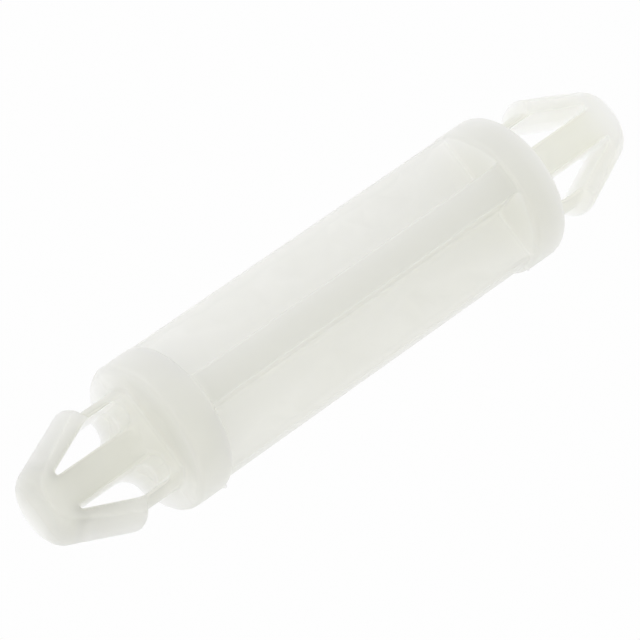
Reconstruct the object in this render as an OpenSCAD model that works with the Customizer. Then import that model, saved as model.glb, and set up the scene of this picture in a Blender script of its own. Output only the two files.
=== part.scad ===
// Double-ended snap-in standoff for circuit boards, moulded in one piece of natural nylon.
// Two round flanges carry the boards, a cross-shaped body holds them apart, and a split arrow
// head on each end snaps through the hole in a board and springs open behind it.
//
// The part lies on the rims of its flanges as it would on a bench. X runs along its length, and
// Z is the direction in which the mould opens. The origin is below the middle, at rim height.

/* [Flanges] */
// Diameter of both flanges
flange_d = 5.6; // [5:0.1:8]
// Thickness of each flange
flange_t = 1.5; // [1:0.02:2]
// Distance between the two boards, over the outer faces of the flanges
spacing = 17.5; // [12:0.5:30]
// Radius on the rims of the flanges
rim_r = 0.2; // [0.05:0.01:0.3]

/* [Cross-shaped body] */
// Diameter of the circle that the tips of the cross lie on
body_d = 5.38; // [4.6:0.02:5.6]
// Thickness of the plate in the parting plane
plate_t = 1.5; // [1:0.05:2]
// Thickness of the two upright ribs at their root
rib_root_t = 1.28; // [1:0.02:2]
// Thickness of the two upright ribs at their tip
rib_tip_t = 1.18; // [0.8:0.02:1.9]
// Radius in the four inner corners of the cross
cross_r = 0.2; // [0.05:0.01:0.4]
// Sideways step between the cross and the flanges, where the mould inserts meet
cross_shift = 0.08; // [0:0.01:0.12]

/* [Snap heads] */
// Diameter of the neck, just under the hole in the board
neck_d = 3.88; // [3.84:0.02:4.2]
// Diameter over the barbs
barb_d = 4.74; // [4.5:0.02:5]
// Gap between flange and shoulder, for the thickness of the board
grip = 1.67; // [1.6:0.01:2]
// Rise of the slanted shoulder from the neck to the barb
shoulder_h = 0.3; // [0.2:0.01:0.5]
// Length of the head from the flange to its blunt nose
head_h = 4.7; // [4.5:0.02:5]
// Half angle of the conical lead-in
lead_in = 21.8; // [20:0.2:24]
// Thickness of the head between its two flats
head_t = 2.3; // [1.8:0.05:2.3]
// Radius on the edge of the nose
nose_r = 0.52; // [0.2:0.02:0.6]
// Radius on the barbs
barb_r = 0.12; // [0.05:0.01:0.2]

/* [Slots in the heads] */
// Thickness of the stem between the two slots
stem_t = 1.18; // [1:0.02:1.3]
// Height of the solid land under the slots, in the upper half of the mould
land_h = 0.4; // [0.3:0.01:0.6]
// Height of the land in the lower half of the mould
land_low_h = 0.65; // [0.4:0.01:0.8]
// Distance from the axis to the outer wall of a slot at the neck
slot_out = 1.55; // [1.48:0.01:1.58]
// Height at which the outer wall of a slot starts to slope in
slot_knee = 1.82; // [1.6:0.02:2]
// Radius on both sides of a slot's foot, in the upper half of the mould
slot_foot_r = 0.4; // [0.2:0.01:0.44]
// Larger radius beside the stem at a slot's foot, in the lower half of the mould
slot_root_r = 0.7; // [0.4:0.02:0.88]
// Radius where the outer wall of a slot starts to slope in
slot_knee_r = 0.4; // [0.1:0.1:0.8]
// Radius in the pointed end of a slot
slot_tip_r = 0.09; // [0.06:0.01:0.12]

/* [Hidden] */

$fn = 96;
nylon = [0.93, 0.93, 0.88];
// Reach of a cutter past the side that it cuts
over = 0.1;
// What the circle of a rounded corner has over its radius, so that it never stops short of a side
hair = 0.00002;
flange_r = flange_d / 2;
neck_r = neck_d / 2;
barb_r_out = barb_d / 2;
barb_h = grip + shoulder_h;
nose_r_out = barb_r_out - (head_h - barb_h) * tan(lead_in);
body_l = spacing - 2 * flange_t;

function unit(v) = v / norm(v);

// What a radius r takes from the corner between two straight sides, or adds in that corner. The
// piece reaches past both sides, so that it shares no edge with them
module corner_piece(before, corner, after, r) {
    a = unit(before - corner);
    b = unit(after - corner);
    half = acos(a * b) / 2;
    reach = r / tan(half);
    centre = corner + unit(a + b) * r / sin(half);
    past = 1 + over / r;
    difference() {
        polygon([
            centre,
            centre + past * (corner + reach * a - centre),
            centre + past * (corner - centre),
            centre + past * (corner + reach * b - centre)]);
        translate(centre) circle(r + hair);
    }
}

// A closed outline with one radius for each of its corners; a radius of 0 leaves it sharp
module rounded_outline(points, radii) {
    n = len(points);
    difference() {
        polygon(points);
        for (i = [0:n - 1])
            if (radii[i] > 0)
                corner_piece(points[(i + n - 1) % n], points[i], points[(i + 1) % n], radii[i]);
    }
}

// Flange disc on the XY plane
module flange() {
    rotate_extrude()
        rounded_outline(
            [[0, 0], [flange_r, 0], [flange_r, flange_t], [0, flange_t]],
            [0, rim_r, rim_r, 0]);
}

// Section of the body: plate along X, ribs along Y, tips on one circle
module cross_section() {
    tip = body_d;
    root = plate_t / 2;
    intersection() {
        circle(d = body_d);
        union() {
            square([2 * tip, plate_t], center = true);
            for (side = [0, 1])
                mirror([0, side]) {
                    slope = (rib_root_t - rib_tip_t) / 2 / (body_d / 2 - root);
                    half = function(y) rib_root_t / 2 - slope * (y - root);
                    polygon([
                        [-half(0), 0], [half(0), 0], [half(tip), tip], [-half(tip), tip]]);
                    for (way = [0, 1])
                        mirror([way, 0])
                            corner_piece([half(tip), tip], [half(root), root], [tip, root], cross_r);
                }
        }
    }
}

// Side view of one slot, X across the head and Y up it, with the height of the land under it and
// its radii beside stem and barb
module slot_outline(land, stem_r, barb_side_r) {
    stem = stem_t / 2;
    tip_h = slot_knee + (slot_out - stem) / tan(lead_in);
    rounded_outline(
        [[stem, land], [slot_out, land], [slot_out, slot_knee], [stem, tip_h]],
        [stem_r, barb_side_r, slot_knee_r, slot_tip_r]);
}

// Both slots as cutters. The two halves of the mould meet in the middle of the head, where the
// foot of each slot changes its height and its radii
module slots() {
    for (side = [0, 1])
        mirror([side, 0, 0])
            rotate([90, 0, 0]) {
                translate([0, 0, -head_t])
                    linear_extrude(head_t)
                        slot_outline(land_h, slot_foot_r, slot_foot_r);
                linear_extrude(head_t)
                    slot_outline(land_low_h, slot_root_r, 0);
            }
}

// Arrow head standing on the XY plane: a turned barb with two flats, and a slot on each side of
// the stem that makes each barb a closed spring loop
module snap_head() {
    difference() {
        intersection() {
            rotate_extrude()
                rounded_outline(
                    [[0, 0], [neck_r, 0], [neck_r, grip], [barb_r_out, barb_h], [nose_r_out, head_h], [0, head_h]],
                    [0, 0, 0, barb_r, nose_r, 0]);
            translate([-flange_r, -head_t / 2, 0])
                cube([flange_d, head_t, head_h]);
        }
        slots();
    }
}

// Flange with its head, standing on the XY plane with the head up
module end_piece() {
    flange();
    translate([0, 0, flange_t])
        snap_head();
}

module standoff() {
    color(nylon)
        translate([0, 0, flange_r])
            union() {
                for (way = [0, 1])
                    mirror([way, 0, 0])
                        translate([spacing / 2 - flange_t, 0, 0])
                            rotate([90, 0, 90])
                                end_piece();
                translate([-body_l / 2, cross_shift, 0])
                    rotate([90, 0, 90])
                        linear_extrude(body_l)
                            cross_section();
            }
}

standoff();
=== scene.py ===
"""Looks of a snap-in circuit board standoff: one moulding in milky natural nylon, with soft moulded
edges, a parting line and small bits of flash, on a white table under soft light."""

from math import asin, cos, pi, radians, sin, sqrt, tan

import bpy
import numpy as np
from mathutils import Matrix, Vector
from mathutils.bvhtree import BVHTree


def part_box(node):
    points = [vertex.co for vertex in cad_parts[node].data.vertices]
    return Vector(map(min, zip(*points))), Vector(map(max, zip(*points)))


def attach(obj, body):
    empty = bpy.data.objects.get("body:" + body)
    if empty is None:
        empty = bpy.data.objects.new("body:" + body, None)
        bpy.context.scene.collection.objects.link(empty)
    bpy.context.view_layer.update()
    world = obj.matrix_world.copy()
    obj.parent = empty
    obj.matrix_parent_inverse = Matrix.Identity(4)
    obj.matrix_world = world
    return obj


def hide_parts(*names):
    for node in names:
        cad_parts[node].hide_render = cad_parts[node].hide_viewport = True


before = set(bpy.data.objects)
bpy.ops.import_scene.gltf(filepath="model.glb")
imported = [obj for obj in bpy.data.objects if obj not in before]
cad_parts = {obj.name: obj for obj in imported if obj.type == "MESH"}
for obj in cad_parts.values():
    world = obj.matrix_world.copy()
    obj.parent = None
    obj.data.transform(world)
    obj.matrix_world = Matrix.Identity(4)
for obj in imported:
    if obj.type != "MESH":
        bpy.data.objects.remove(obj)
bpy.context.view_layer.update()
bpy.ops.object.select_all(action="DESELECT")

MM = 0.001

# The moulding, whose outer sizes come from the frame
LOW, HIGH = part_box("standoff")
AXIS_Z = (LOW.z + HIGH.z) / 2
FLANGE_R = (HIGH.y - LOW.y) / 2
FLANGE_T = 1.5 * MM
RIM_R = 0.2 * MM
HEAD_H = 4.7 * MM
FACE_X = HIGH.x - HEAD_H
BODY_R = 5.38 / 2 * MM
PLATE_T = 1.5 * MM
RIB_ROOT_T = 1.28 * MM
RIB_TIP_T = 1.18 * MM
CROSS_R = 0.2 * MM
CROSS_SHIFT = 0.08 * MM

# The snap heads, measured up from the outer face of a flange
NECK_R = 3.88 / 2 * MM
BARB_R = 4.74 / 2 * MM
GRIP = 1.67 * MM
BARB_H = 1.97 * MM
LEAD_IN = radians(21.8)
HEAD_T = 2.3 * MM
NOSE_EDGE_R = 0.52 * MM
BARB_EDGE_R = 0.12 * MM
STEM_T = 1.18 * MM
LAND_H = 0.4 * MM
LAND_LOW_H = 0.65 * MM
SLOT_OUT = 1.55 * MM
SLOT_KNEE = 1.82 * MM
SLOT_FOOT_R = 0.4 * MM
SLOT_ROOT_R = 0.7 * MM
SLOT_KNEE_R = 0.4 * MM
SLOT_TIP_R = 0.09 * MM

# How finely the moulding is made
TURN_STEPS = 192
ARC_STEP = radians(9)
OVERLAP = 0.3 * MM
VOXEL = 0.045 * MM
SMOOTH_PASSES = 3
MOST_FACES = 190000

# Where the two halves of the mould meet
PARTING_H = 0.014 * MM
PARTING_HALF_W = 0.035 * MM

# Bits of flash on the flanges, each with its place and half its size in millimetres
FLASH = (
    ((-7.35, -2.79, 2.8), (0.09, 0.1, 0.04)),
    ((7.28, -2.77, 2.8), (0.07, 0.08, 0.04)),
    ((7.3, -2.38, 4.2), (0.05, 0.05, 0.07)))

# How the depth of nylon below the skin and the room in front of it are measured: by rays in rings
DEPTH_RINGS = ((radians(8), 4), (radians(20), 7), (radians(32), 9))
ROOM_RINGS = ((radians(15), 3), (radians(35), 5), (radians(55), 6), (radians(72), 6))
MOST_DEPTH = 6 * MM
MOST_ROOM = 4 * MM
SKIN_T = 0.02 * MM
DIP_PASSES = 6
BLUR_PASSES = 14

# The camera: where it looks from, seen from the part, and how it is framed
CAMERA_SWING = radians(29.32)
CAMERA_TIP = radians(4.13)
CAMERA_ROLL = radians(34.87)
CAMERA_DISTANCE = 140.6 * MM
CAMERA_FOV = radians(8.91)
CAMERA_AIM = (-0.553 * MM, -0.064 * MM)

LAMP_DISTANCE = 0.4


# Modelling by hand, with one function for each way of making a solid

def edit(piece, mode="VERT"):
    """Edit mode on this piece alone, with all of it selected."""
    bpy.ops.object.select_all(action="DESELECT")
    piece.select_set(True)
    bpy.context.view_layer.objects.active = piece
    bpy.ops.object.mode_set(mode="EDIT")
    bpy.ops.mesh.select_mode(type=mode)
    bpy.ops.mesh.select_all(action="SELECT")


def leave_edit():
    bpy.ops.object.mode_set(mode="OBJECT")


def apply(piece, kind, **settings):
    """Adds a modifier to the piece and applies it."""
    bpy.context.view_layer.objects.active = piece
    modifier = piece.modifiers.new(kind.title(), kind)
    for name, value in settings.items():
        setattr(modifier, name, value)
    bpy.ops.object.modifier_apply(modifier=modifier.name)


def chain(name, points):
    """A chain of edges through these points, extruded from one vertex. It stays in edit mode."""
    bpy.ops.mesh.primitive_plane_add(size=MM)
    piece = bpy.context.object
    piece.name = name
    edit(piece)
    bpy.ops.mesh.merge(type="CENTER")
    bpy.ops.transform.translate(value=points[0])
    for before, after in zip(points, points[1:]):
        bpy.ops.mesh.extrude_region_move(TRANSFORM_OT_translate={"value": after - before})
    bpy.ops.mesh.select_all(action="SELECT")
    return piece


def finish_solid(piece):
    """Closes seams and points all faces outwards."""
    bpy.ops.mesh.select_all(action="SELECT")
    bpy.ops.mesh.remove_doubles(threshold=1e-7)
    bpy.ops.mesh.normals_make_consistent(inside=False)
    leave_edit()
    return piece


def rounded(corners):
    """Points of an outline with arcs at its corners, from corners of (x, y, radius)."""
    outline = []
    for i, (x, y, r) in enumerate(corners):
        here = Vector((x, y))
        if r == 0:
            outline.append(here)
            continue
        to_last = (Vector(corners[i - 1][:2]) - here).normalized()
        to_next = (Vector(corners[(i + 1) % len(corners)][:2]) - here).normalized()
        half = to_last.angle(to_next) / 2
        centre = here + (to_last + to_next).normalized() * r / sin(half)
        start = here + to_last * r / tan(half) - centre
        turn = start.angle_signed(here + to_next * r / tan(half) - centre)
        steps = max(2, round(abs(turn) / ARC_STEP))
        for k in range(steps + 1):
            arc = start.copy()
            arc.rotate(Matrix.Rotation(-turn * k / steps, 2))
            outline.append(centre + arc)
    return outline


def turned(name, corners):
    """A solid turned about the part's long axis, from corners of (x, radius from the axis, rounding)."""
    piece = chain(name, [Vector((p.x, 0, AXIS_Z + p.y)) for p in rounded(corners)])
    bpy.ops.mesh.spin(steps=TURN_STEPS, angle=2 * pi, center=(0, 0, AXIS_Z), axis=(1, 0, 0))
    return finish_solid(piece)


def prism(name, outline, sweep):
    """A closed outline of points in space, swept along a vector."""
    piece = chain(name, outline)
    bpy.ops.mesh.edge_face_add()
    bpy.ops.mesh.extrude_region_move(TRANSFORM_OT_translate={"value": sweep})
    return finish_solid(piece)


def cut(piece, cutter, operation="DIFFERENCE"):
    apply(piece, "BOOLEAN", operation=operation, object=cutter, solver="EXACT")
    bpy.data.objects.remove(cutter)


# The moulding's parts. side is 1 at the far end and -1 at the near end

def flange(side):
    inner, outer = side * (FACE_X - FLANGE_T), side * FACE_X
    return turned("flange", [
        (inner, 0, 0), (inner, FLANGE_R, RIM_R), (outer, FLANGE_R, RIM_R), (outer, 0, 0)])


def slot_cutter(side, across, half, land, stem_r, barb_side_r):
    """Cutter for one slot in one half of the mould: across picks the slot, half the side of the mould."""
    stem = STEM_T / 2
    tip_h = SLOT_KNEE + (SLOT_OUT - stem) / tan(LEAD_IN)
    outline = rounded([
        (land, stem, stem_r), (land, SLOT_OUT, barb_side_r),
        (SLOT_KNEE, SLOT_OUT, SLOT_KNEE_R), (tip_h, stem, SLOT_TIP_R)])
    points = [Vector((side * (FACE_X + p.x), across * p.y, AXIS_Z)) for p in outline]
    return prism("slot", points, Vector((0, 0, half * HEAD_T)))


def snap_head(side):
    """Turned barb with a blunt nose, cut to two flats, with a slot on each side of its stem."""
    def corner(h, r, edge_r=0):
        return (side * (FACE_X + h), r, edge_r)
    nose_r = BARB_R - (HEAD_H - BARB_H) * tan(LEAD_IN)
    head = turned("snap_head", [
        corner(-OVERLAP, 0), corner(-OVERLAP, NECK_R), corner(GRIP, NECK_R),
        corner(BARB_H, BARB_R, BARB_EDGE_R), corner(HEAD_H, nose_r, NOSE_EDGE_R), corner(HEAD_H, 0)])
    bpy.ops.mesh.primitive_cube_add(size=HEAD_T, location=(side * FACE_X, 0, AXIS_Z))
    flats = bpy.context.object
    edit(flats)
    bpy.ops.transform.resize(value=(2 * HEAD_H / HEAD_T + 1, 2 * BARB_R / HEAD_T + 1, 1))
    leave_edit()
    cut(head, flats, "INTERSECT")
    for across in (1, -1):
        cut(head, slot_cutter(side, across, 1, LAND_H, SLOT_FOOT_R, SLOT_FOOT_R))
        cut(head, slot_cutter(side, across, -1, LAND_LOW_H, SLOT_ROOT_R, 0))
    return head


def cross_body():
    """Plate in the parting plane and two drafted ribs, with their tips on one circle."""
    def tip(middle, half_t):
        """Arc of the tip that points at the angle middle and is half_t thick each way."""
        reach = asin(half_t / BODY_R)
        steps = 8
        return [
            Vector((BODY_R * cos(middle + k * reach), BODY_R * sin(middle + k * reach)))
            for k in (2 * i / steps - 1 for i in range(steps + 1))]
    plate, root, rib = PLATE_T / 2, RIB_ROOT_T / 2, RIB_TIP_T / 2
    plate_tip = (sqrt(BODY_R ** 2 - plate ** 2), plate)
    rib_tip = (rib, sqrt(BODY_R ** 2 - rib ** 2))
    corner = rounded([(*plate_tip, 0), (root, plate, CROSS_R), (*rib_tip, 0)])[1:-1]
    right, top = tip(0, plate), tip(pi / 2, rib)
    half_outline = right + corner + top + [Vector((-p.x, p.y)) for p in reversed(corner)]
    outline = half_outline + [-p for p in half_outline]
    inner = FACE_X - FLANGE_T + OVERLAP
    points = [Vector((-inner, p.x + CROSS_SHIFT, AXIS_Z + p.y)) for p in outline]
    return prism("cross_body", points, Vector((2 * inner, 0, 0)))


def flash(place, size, turn=0):
    """A scrap of flash: a small lump pulled out flat where the mould didn't quite close."""
    bpy.ops.mesh.primitive_ico_sphere_add(subdivisions=3, radius=1)
    lump = bpy.context.object
    edit(lump)
    bpy.ops.transform.resize(value=size)
    leave_edit()
    lump.rotation_euler.x = turn
    lump.location = place
    bpy.ops.object.transform_apply(location=True, rotation=True, scale=True)
    return lump


def fuse(name, pieces):
    """Melts the solids into one skin with softly rounded edges, as a mould leaves them."""
    bpy.ops.object.select_all(action="DESELECT")
    for piece in pieces:
        piece.select_set(True)
    bpy.context.view_layer.objects.active = pieces[0]
    bpy.ops.object.join()
    whole = bpy.context.object
    whole.name = name
    apply(whole, "REMESH", mode="VOXEL", voxel_size=VOXEL)
    number_by_place(whole.data)
    apply(whole, "SMOOTH", factor=0.5, iterations=SMOOTH_PASSES)
    return whole


def number_by_place(mesh):
    """Numbers points and faces by their place: the remesher's own order changes from run to run."""
    place = np.empty(len(mesh.vertices) * 3, np.float32)
    mesh.vertices.foreach_get("co", place)
    place = place.reshape(-1, 3)
    order = np.lexsort(place.T)
    number = np.empty_like(order)
    number[order] = np.arange(len(order))
    faces = []
    for face in mesh.polygons:
        corners = [int(number[corner]) for corner in face.vertices]
        first = corners.index(min(corners))
        faces.append(corners[first:] + corners[:first])
    faces.sort()
    mesh.clear_geometry()
    mesh.from_pydata(place[order].tolist(), [], faces)


def raise_parting_line(piece):
    """Lifts the skin a little where it crosses the plane in which the mould halves meet."""
    mesh = piece.data
    place = np.empty(len(mesh.vertices) * 3, np.float32)
    normal = np.empty(len(mesh.vertices) * 3, np.float32)
    mesh.vertices.foreach_get("co", place)
    mesh.vertices.foreach_get("normal", normal)
    place, normal = place.reshape(-1, 3), normal.reshape(-1, 3)
    height = PARTING_H * np.exp(-((place[:, 2] - AXIS_Z) / PARTING_HALF_W) ** 2)
    height *= 1 - np.abs(normal[:, 2])
    mesh.vertices.foreach_set("co", (place + normal * height[:, None]).ravel())
    mesh.update()


def measure_reach(piece, name, rings, way, most):
    """Keeps how far rays reach from each point of the skin before they meet it again, as an attribute.

    way is 1 for rays out of the skin and -1 for rays into the nylon; the mean is in millimetres."""
    mesh = piece.data
    skin = BVHTree.FromObject(piece, bpy.context.evaluated_depsgraph_get())
    rays = [
        (cos(tilt), sin(tilt) * cos(2 * pi * k / count), sin(tilt) * sin(2 * pi * k / count))
        for tilt, count in rings for k in range(count)]
    means = np.empty(len(mesh.vertices), np.float32)
    for vertex in mesh.vertices:
        ahead = way * vertex.normal
        side = ahead.orthogonal().normalized()
        other = ahead.cross(side)
        start = vertex.co + ahead * SKIN_T
        total = 0
        for a, b, c in rays:
            reach = skin.ray_cast(start, a * ahead + b * side + c * other, most)[3]
            total += most if reach is None else reach
        means[vertex.index] = total / len(rays) / MM
    mesh.attributes.new(name, "FLOAT", "POINT").data.foreach_set("value", evened_out(mesh, means))


def evened_out(mesh, values):
    """The values without their narrow dips along edges, and then blurred over the skin."""
    ends = np.empty(len(mesh.edges) * 2, np.int32)
    mesh.edges.foreach_get("vertices", ends)
    here, there = ends.reshape(-1, 2).T
    for pick in (np.maximum, np.minimum):
        for _ in range(DIP_PASSES):
            last = values.copy()
            pick.at(values, here, last[there])
            pick.at(values, there, last[here])
    neighbours = np.bincount(ends)
    for _ in range(BLUR_PASSES):
        sums = np.bincount(here, values[there], len(values))
        sums += np.bincount(there, values[here], len(values))
        values = ((values + sums / neighbours) / 2).astype(np.float32)
    return values


def moulding():
    pieces = [cross_body()]
    for side in (1, -1):
        pieces += [flange(side), snap_head(side)]
    pieces += [flash(Vector(place) * MM, Vector(size) * MM) for place, size in FLASH]
    whole = fuse("moulded_standoff", pieces)
    raise_parting_line(whole)
    apply(whole, "DECIMATE", ratio=min(1, MOST_FACES / (2 * len(whole.data.polygons))))
    bpy.ops.object.shade_smooth()
    measure_reach(whole, "depth", DEPTH_RINGS, -1, MOST_DEPTH)
    measure_reach(whole, "room", ROOM_RINGS, 1, MOST_ROOM)
    return whole


# Materials

class Value:
    """A shader socket that takes part in arithmetic, adding a Math node for each operation."""

    def __init__(self, shader, socket):
        self.shader = shader
        self.socket = socket

    def math(self, operation, *others):
        return self.shader.node("Math", {"operation": operation}, self, *others)

    def __add__(self, other):
        return self.math("ADD", other)

    def __sub__(self, other):
        return self.math("SUBTRACT", other)

    def __rsub__(self, other):
        return (self * -1).math("ADD", other)

    def __mul__(self, other):
        return self.math("MULTIPLY", other)

    def __pow__(self, other):
        return self.math("POWER", other)

    __radd__ = __add__
    __rmul__ = __mul__


class Shader:
    """The node tree of one material or of the world."""

    def __init__(self, owner):
        owner.use_nodes = True
        self.tree = owner.node_tree
        self.tree.nodes.clear()

    def node(self, kind, settings=None, *inputs, out=0, **named):
        """Adds a node, sets it, feeds its sockets by order or by name, and gives one of its outputs."""
        prefix = "" if kind.startswith("Shader") else "ShaderNode"
        made = self.tree.nodes.new(prefix + kind)
        for name, value in (settings or {}).items():
            setattr(made, name, value)
        feeds = list(zip(made.inputs, inputs))
        feeds += [(made.inputs[name.replace("_", " ")], value) for name, value in named.items()]
        for socket, value in feeds:
            if isinstance(value, Value):
                self.tree.links.new(value.socket, socket)
            else:
                socket.default_value = value
        return Value(self, made.outputs[out]) if made.outputs else made

    def mix(self, share, first, second):
        """Colour between two others: all of the first at a share of 0, all of the second at 1."""
        mixed = self.node("Mix", {"data_type": "RGBA"}, share, out=2)
        for i, colour in ((6, first), (7, second)):
            socket = mixed.socket.node.inputs[i]
            if isinstance(colour, Value):
                self.tree.links.new(colour.socket, socket)
            else:
                socket.default_value = colour
        return mixed


def natural_nylon():
    """Milky nylon: light goes deep into it, so thin walls are bright and thick ones are darker. Its base
    colour also has light and shade painted into it. There is painted light on thin head walls, in pockets
    and on the far head, and painted shade on exposed skin, on deep nylon, on the ribs and on the near
    head.
    """
    material = bpy.data.materials.new("natural_nylon")
    shader = Shader(material)
    place = shader.node("TexCoord", out=3)
    clouds = shader.node("TexNoise", None, place, Scale=450, Detail=3, Roughness=0.55)
    grain = shader.node("TexNoise", None, place, Scale=9000, Detail=2, Roughness=0.6)
    lengthwise = shader.node("Mapping", None, place, Scale=(0.06, 1, 1))
    drag = shader.node("TexNoise", None, lengthwise, Scale=4200, Detail=2, Roughness=0.5)
    depth = shader.node("Attribute", {"attribute_name": "depth"}, out=2)
    room = shader.node("Attribute", {"attribute_name": "room"}, out=2)
    along = shader.node("SeparateXYZ", None, place)
    across = shader.node("SeparateXYZ", None, place, out=1).math("ABSOLUTE")
    head = shader.node("MapRange", None, along.math("ABSOLUTE"), 0.0086, 0.0092, 0.0, 1.0)
    # Head walls with little nylon behind them are painted lighter and paler in tint: painted light
    # shining through them
    thin = head * shader.node(
        "MapRange", {"interpolation_type": "SMOOTHSTEP"}, depth, 0.9, 1.9, 1.0, 0.0)
    slim = shader.node("MapRange", None, depth, 1.9, 2.2, 1.0, 0.0)
    thick = shader.node("MapRange", None, depth, 2.2, 3.6, 0.0, 1.0)
    # Skin with little free room in front of it, in pockets and corners, is painted lighter: painted light
    # in the recesses
    tucked_in_painted_light = shader.node("MapRange", None, room, 1.2, 2.6, 1.0, 0.0)
    # Skin with much free room in front of it, on exposed edges and tops, is painted darker: painted shade
    proud_painted_shade = shader.node("MapRange", None, room, 3.35, 3.65, 0.0, 1.0)
    middle = shader.node("MapRange", None, across, 0.0005, 0.0015, 1.0, 0.0)
    above = (shader.node("SeparateXYZ", None, place, out=2) - AXIS_Z).math("ABSOLUTE")
    body = shader.node("MapRange", None, along.math("ABSOLUTE"), 0.0070, 0.0073, 1.0, 0.0)
    # The ribs are painted darker, most where they have less free room in front, on their sides: painted
    # shade
    rib = body * shader.node("MapRange", None, above, 0.0009, 0.0011, 0.0, 1.0)
    # The near head is painted darker, more along its middle and at its tip: painted shade
    near_head_painted_shade = shader.node("MapRange", None, along, -0.0105, -0.0075, 1.0, 0.0)
    near_tip_painted_shade = shader.node("MapRange", None, along, -0.0134, -0.0124, 1.0, 0.0)
    # The far head is painted lighter: painted light
    far_head_painted_light = shader.node("MapRange", None, along, 0.0080, 0.0095, 0.0, 1.0)
    # Deep nylon, except in pockets and on the near head, is painted darker, and paler in tint: painted
    # shade
    thick_painted_shade = thick * (1 - tucked_in_painted_light) * (1 - near_head_painted_shade)
    # The grey of the base colour: a plain value, with the painted light and painted shade of the masks
    # above added or taken away
    tone_with_painted_light = (
        0.84 + thin * 0.25 - proud_painted_shade * 0.10 - thick_painted_shade * 0.05 - rib * (1.6 - proud_painted_shade) * 0.055 + tucked_in_painted_light * 0.13
        + far_head_painted_light * 0.09 - near_head_painted_shade * (1 - thin) * 0.06 - near_head_painted_shade * middle * 0.015 - near_tip_painted_shade * 0.06)
    pale = thin + (1 - thin) * slim * proud_painted_shade + thick_painted_shade * 0.6
    tint = shader.mix(pale, (1, 1, 0.942, 1), (1, 1, 0.97, 1))
    colour = shader.mix(tone_with_painted_light, (0, 0, 0, 1), tint)
    roughness = 0.34 + clouds * 0.12
    height = grain * 0.6 + drag * 0.4
    bump = shader.node("Bump", None, Strength=0.25, Distance=0.006 * MM, Height=height)
    skin = shader.node(
        "BsdfPrincipled", {"subsurface_method": "RANDOM_WALK"},
        Base_Color=colour, Roughness=roughness, Normal=bump, IOR=1.53,
        Subsurface_Weight=1.0, Subsurface_Radius=(1.0, 1.0, 0.92), Subsurface_Scale=10 * MM)
    shader.node("OutputMaterial", None, skin)
    return material


def white_table():
    """A table that glows evenly white."""
    material = bpy.data.materials.new("white_table")
    shader = Shader(material)
    glow = shader.node("Emission", None, (1, 1, 1, 1), 0.99)
    shader.node("OutputMaterial", None, glow)
    return material


def table():
    bpy.ops.mesh.primitive_plane_add(size=4)
    top = bpy.context.object
    top.name = "table"
    top.data.materials.append(white_table())


def light_room():
    """Pale walls all round."""
    world = bpy.data.worlds.new("pale_room")
    bpy.context.scene.world = world
    shader = Shader(world)
    walls = shader.node("Background", None, (1, 1, 1, 1), 0.496)
    shader.node("OutputWorld", None, walls)


def softbox(name, azimuth, elevation, size, power, warmth=0):
    """A square lamp that faces the part, from a bearing in degrees from +X and an elevation."""
    turn, rise = radians(azimuth), radians(elevation)
    place = LAMP_DISTANCE * Vector((cos(turn) * cos(rise), sin(turn) * cos(rise), sin(rise)))
    bpy.ops.object.light_add(type="AREA", location=place)
    lamp = bpy.context.object
    lamp.name = name
    lamp.data.size = size
    lamp.data.energy = power
    lamp.data.color = (1, 1, 1 - warmth)
    lamp.rotation_euler = place.to_track_quat("Z", "Y").to_euler()


def camera():
    """Looks down on the part from its near end, rolled so that the part runs up to the right."""
    swing, tip, roll = CAMERA_SWING, CAMERA_TIP, CAMERA_ROLL
    back = Vector((-sin(swing), -cos(swing) * sin(tip), cos(swing) * cos(tip)))
    along = Vector((cos(swing), -sin(tip) * sin(swing), cos(tip) * sin(swing)))
    across = Vector((0, cos(tip), sin(tip)))
    right = along * cos(roll) - across * sin(roll)
    up = along * sin(roll) + across * cos(roll)
    aim = Vector((0, 0, AXIS_Z)) + along * CAMERA_AIM[0] + across * CAMERA_AIM[1]
    bpy.ops.object.camera_add()
    eye = bpy.context.object
    eye.name = "camera"
    turn = Matrix((right, up, back)).transposed().to_4x4()
    eye.matrix_world = Matrix.Translation(aim + back * CAMERA_DISTANCE) @ turn
    eye.data.sensor_fit = "HORIZONTAL"
    eye.data.angle = CAMERA_FOV
    eye.data.clip_start = MM
    bpy.context.scene.camera = eye


camera()
standoff = moulding()
standoff.data.materials.clear()
standoff.data.materials.append(natural_nylon())
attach(standoff, "root")
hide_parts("standoff")

table()
light_room()
softbox("key_softbox", 90, 45, 0.3, 0.254)
softbox("low_key_softbox", 90, 15, 0.2, 0.193)
softbox("fill_softbox", 270, 45, 0.3, 0.271, 0.25)
softbox("near_softbox", 180, 45, 0.3, 0.312, 0.2)
softbox("low_far_softbox", 0, 15, 0.2, 0.214)
bpy.context.scene.view_settings.view_transform = "Standard"
bpy.context.scene.cycles.max_bounces = 16
bpy.context.scene.cycles.diffuse_bounces = 16
